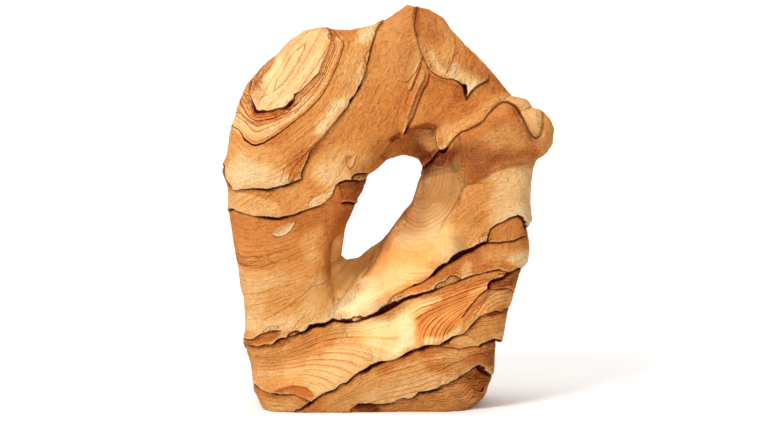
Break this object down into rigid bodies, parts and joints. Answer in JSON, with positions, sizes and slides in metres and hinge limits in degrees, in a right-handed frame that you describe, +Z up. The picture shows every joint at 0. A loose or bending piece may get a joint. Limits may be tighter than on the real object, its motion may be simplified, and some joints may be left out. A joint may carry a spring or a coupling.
{
  "type": "sandstone arch",
  "caption": "Upright natural sandstone with a slanting hole worn through it, stepped beds and scalloped layers, cut flat underneath.",
  "frame": {"origin": "on the flat underside, below the middle of the arch", "axes": "+Z up, -Y towards the viewer of the front face, +X to the right seen from the front"},
  "size_m": [0.2099, 0.1033, 0.2503],
  "materials": {
    "sandstone": "matt, granular, with cream and rust-brown layers"
  },
  "bodies": {
    "root": {"sandstone_arch": "sandstone"}
  },
  "joints": []
}
